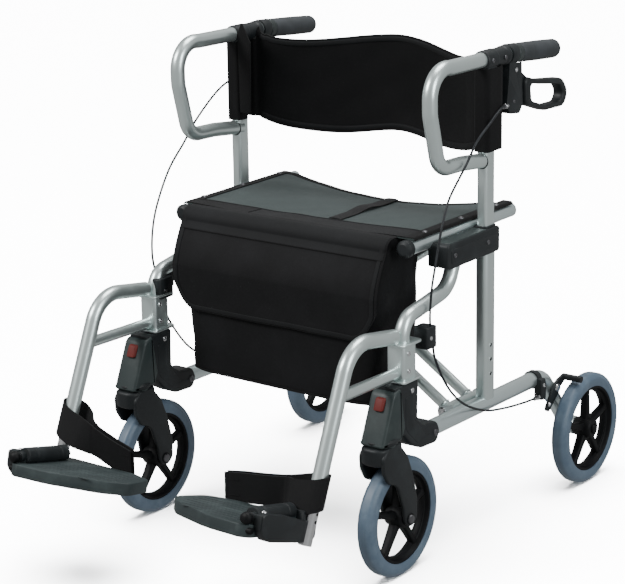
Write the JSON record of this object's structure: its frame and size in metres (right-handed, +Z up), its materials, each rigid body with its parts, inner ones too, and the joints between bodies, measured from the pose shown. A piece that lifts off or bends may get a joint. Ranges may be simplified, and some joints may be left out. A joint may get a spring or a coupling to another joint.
{
  "type": "rollator",
  "caption": "Folding wheeled walker and transport chair: sling seat with bag, curved backrest band, height-set push grips with loop brakes, caster wheels, swing-away footrests",
  "frame": {"origin": "on the ground at the middle of the bounding box", "axes": "+Z up, -Y the front, towards the footrests, +X the right-hand wheels' side"},
  "size_m": [0.63, 1.0212, 0.8201],
  "materials": {
    "silver": "satin silver with a faint green tint",
    "black_plastic": "fine grained black",
    "dark_plastic": "dark grey-green",
    "grey_tyre": "solid blue-grey tyre",
    "foam": "soft dark grip",
    "steel": "bright plated",
    "mesh_fabric": "grey-green woven mesh",
    "black_fabric": "black woven polyester"
  },
  "bodies": {
    "side_frame_right": {"lower_rail_right": "silver", "lower_post_right": "silver", "seat_housing_right": "black_plastic", "front_leg_tube_right": "silver", "caster_housing_right": "black_plastic", "cable_clip_right": "black_plastic", "brake_cable_right": "black_plastic", "rear_axle_right": "steel"},
    "brace_a": {"cross_brace_a": "silver", "brace_bolt": "steel"},
    "brace_b": {"cross_brace_b": "silver"},
    "side_frame_left": {"lower_rail_left": "silver", "lower_post_left": "silver", "seat_housing_left": "black_plastic", "front_leg_tube_left": "silver", "caster_housing_left": "black_plastic", "cable_clip_left": "black_plastic", "brake_cable_left": "black_plastic", "rear_axle_left": "steel"},
    "seat": {"seat_sling": "mesh_fabric", "lift_strap": "black_fabric", "bag_body": "black_fabric"},
    "bag_cover": {"bag_flap": "black_fabric"},
    "handle_right": {"handle_frame_right": "silver", "handle_clamp_right": "black_plastic", "push_grip_right": "foam", "brake_bracket_right": "black_plastic", "backrest_band": "black_fabric"},
    "lever_right": {"brake_lever_right": "black_plastic"},
    "brake_right": {"brake_arm_right": "black_plastic"},
    "rear_wheel_right": {"rear_rim_right": "black_plastic", "rear_tyre_right": "grey_tyre"},
    "caster_right": {"caster_fork_right": "black_plastic", "front_axle_right": "steel"},
    "front_wheel_right": {"front_rim_right": "black_plastic", "front_tyre_right": "grey_tyre"},
    "footrest_right": {"hanger_right": "silver"},
    "extension_right": {"extension_tube_right": "steel", "footplate_bracket_right": "dark_plastic", "footplate_pivot_right": "black_plastic", "heel_strap_right": "black_fabric"},
    "plate_right": {"footplate_right": "dark_plastic"},
    "handle_left": {"handle_frame_left": "silver", "handle_clamp_left": "black_plastic", "push_grip_left": "foam", "brake_bracket_left": "black_plastic"},
    "lever_left": {"brake_lever_left": "black_plastic"},
    "brake_left": {"brake_arm_left": "black_plastic"},
    "rear_wheel_left": {"rear_rim_left": "black_plastic", "rear_tyre_left": "grey_tyre"},
    "caster_left": {"caster_fork_left": "black_plastic", "front_axle_left": "steel"},
    "front_wheel_left": {"front_rim_left": "black_plastic", "front_tyre_left": "grey_tyre"},
    "footrest_left": {"hanger_left": "silver"},
    "extension_left": {"extension_tube_left": "steel", "footplate_bracket_left": "dark_plastic", "footplate_pivot_left": "black_plastic", "heel_strap_left": "black_fabric"},
    "plate_left": {"footplate_left": "dark_plastic"}
  },
  "joints": [
    {"name": "frame_fold", "type": "hinge", "parent": "side_frame_right", "child": "brace_a", "pos_m": [0.228, 0.1, 0.221], "axis": [0, 1, 0], "range_deg": [0, 41.3], "deforming": ["seat_sling", "lift_strap", "bag_body", "bag_flap", "backrest_band"]},
    {"name": "brace_cross", "type": "hinge", "parent": "brace_a", "child": "brace_b", "pos_m": [0, 0.1, 0.373], "axis": [0, 1, 0], "range_deg": [-82.7, 0]},
    {"name": "left_frame_turn", "type": "hinge", "parent": "brace_b", "child": "side_frame_left", "pos_m": [-0.228, 0.1, 0.221], "axis": [0, 1, 0], "range_deg": [0, 41.4]},
    {"name": "seat_turn", "type": "hinge", "parent": "brace_b", "child": "seat", "pos_m": [0.228, 0.1, 0.525], "axis": [0, 1, 0], "range_deg": [0, 41.4]},
    {"name": "bag_open", "type": "hinge", "parent": "seat", "child": "bag_cover", "pos_m": [0, -0.0516, 0.5393], "axis": [-1, 0, 0], "range_deg": [0, 100]},
    {"name": "handle_height_right", "type": "slide", "parent": "side_frame_right", "child": "handle_right", "axis": [0, 0, 1], "range_m": [0, 0.1], "deforming": ["brake_cable_right"]},
    {"name": "lever_squeeze_right", "type": "hinge", "parent": "handle_right", "child": "lever_right", "pos_m": [0.256, 0.213, 0.775], "axis": [1, 0, 0], "range_deg": [0, 10], "stiffness_Nm_per_rad": 3},
    {"name": "brake_turn_right", "type": "hinge", "parent": "side_frame_right", "child": "brake_right", "pos_m": [0.256, 0.343, 0.19], "axis": [1, 0, 0], "range_deg": [-8.8, 0]},
    {"name": "rear_wheel_spin_right", "type": "hinge", "parent": "side_frame_right", "child": "rear_wheel_right", "pos_m": [0.293, 0.412, 0.1], "axis": [1, 0, 0], "continuous": true},
    {"name": "caster_swivel_right", "type": "hinge", "parent": "side_frame_right", "child": "caster_right", "pos_m": [0.256, -0.175, 0.238], "axis": [0, 0, 1], "continuous": true},
    {"name": "front_wheel_spin_right", "type": "hinge", "parent": "caster_right", "child": "front_wheel_right", "pos_m": [0.256, -0.13, 0.1], "axis": [1, 0, 0], "continuous": true},
    {"name": "footrest_swing_right", "type": "hinge", "parent": "side_frame_right", "child": "footrest_right", "pos_m": [0.256, -0.115, 0.327], "axis": [0, 0, 1], "range_deg": [0, 90]},
    {"name": "footrest_length_right", "type": "slide", "parent": "footrest_right", "child": "extension_right", "axis": [0, -0.4027, -0.9153], "range_m": [0, 0.06]},
    {"name": "footplate_flip_right", "type": "hinge", "parent": "extension_right", "child": "plate_right", "pos_m": [0.235, -0.35728, 0.17742], "axis": [0, 0.9703, -0.2419], "range_deg": [0, 90], "deforming": ["heel_strap_right"]},
    {"name": "handle_height_left", "type": "slide", "parent": "side_frame_left", "child": "handle_left", "axis": [0, 0, 1], "range_m": [0, 0.1], "deforming": ["brake_cable_left"]},
    {"name": "lever_squeeze_left", "type": "hinge", "parent": "handle_left", "child": "lever_left", "pos_m": [-0.256, 0.213, 0.775], "axis": [1, 0, 0], "range_deg": [0, 10], "stiffness_Nm_per_rad": 3},
    {"name": "brake_turn_left", "type": "hinge", "parent": "side_frame_left", "child": "brake_left", "pos_m": [-0.256, 0.343, 0.19], "axis": [1, 0, 0], "range_deg": [-8.8, 0]},
    {"name": "rear_wheel_spin_left", "type": "hinge", "parent": "side_frame_left", "child": "rear_wheel_left", "pos_m": [-0.293, 0.412, 0.1], "axis": [1, 0, 0], "continuous": true},
    {"name": "caster_swivel_left", "type": "hinge", "parent": "side_frame_left", "child": "caster_left", "pos_m": [-0.256, -0.175, 0.238], "axis": [0, 0, 1], "continuous": true},
    {"name": "front_wheel_spin_left", "type": "hinge", "parent": "caster_left", "child": "front_wheel_left", "pos_m": [-0.256, -0.13, 0.1], "axis": [1, 0, 0], "continuous": true},
    {"name": "footrest_swing_left", "type": "hinge", "parent": "side_frame_left", "child": "footrest_left", "pos_m": [-0.256, -0.115, 0.327], "axis": [0, 0, -1], "range_deg": [0, 90]},
    {"name": "footrest_length_left", "type": "slide", "parent": "footrest_left", "child": "extension_left", "axis": [0, -0.4027, -0.9153], "range_m": [0, 0.06]},
    {"name": "footplate_flip_left", "type": "hinge", "parent": "extension_left", "child": "plate_left", "pos_m": [-0.235, -0.35728, 0.17742], "axis": [0, -0.9703, 0.2419], "range_deg": [0, 90], "deforming": ["heel_strap_left"]}
  ],
  "couplings": [
    {"joint": "brace_cross", "follows": "frame_fold", "ratio": -2},
    {"joint": "left_frame_turn", "follows": "frame_fold", "ratio": 1},
    {"joint": "seat_turn", "follows": "frame_fold", "ratio": 1},
    {"joint": "handle_height_left", "follows": "handle_height_right", "ratio": 1},
    {"joint": "brake_turn_right", "follows": "lever_squeeze_right", "ratio": -0.87},
    {"joint": "footplate_flip_right", "follows": "frame_fold", "ratio": 2.175},
    {"joint": "brake_turn_left", "follows": "lever_squeeze_left", "ratio": -0.87},
    {"joint": "footplate_flip_left", "follows": "frame_fold", "ratio": 2.175}
  ]
}
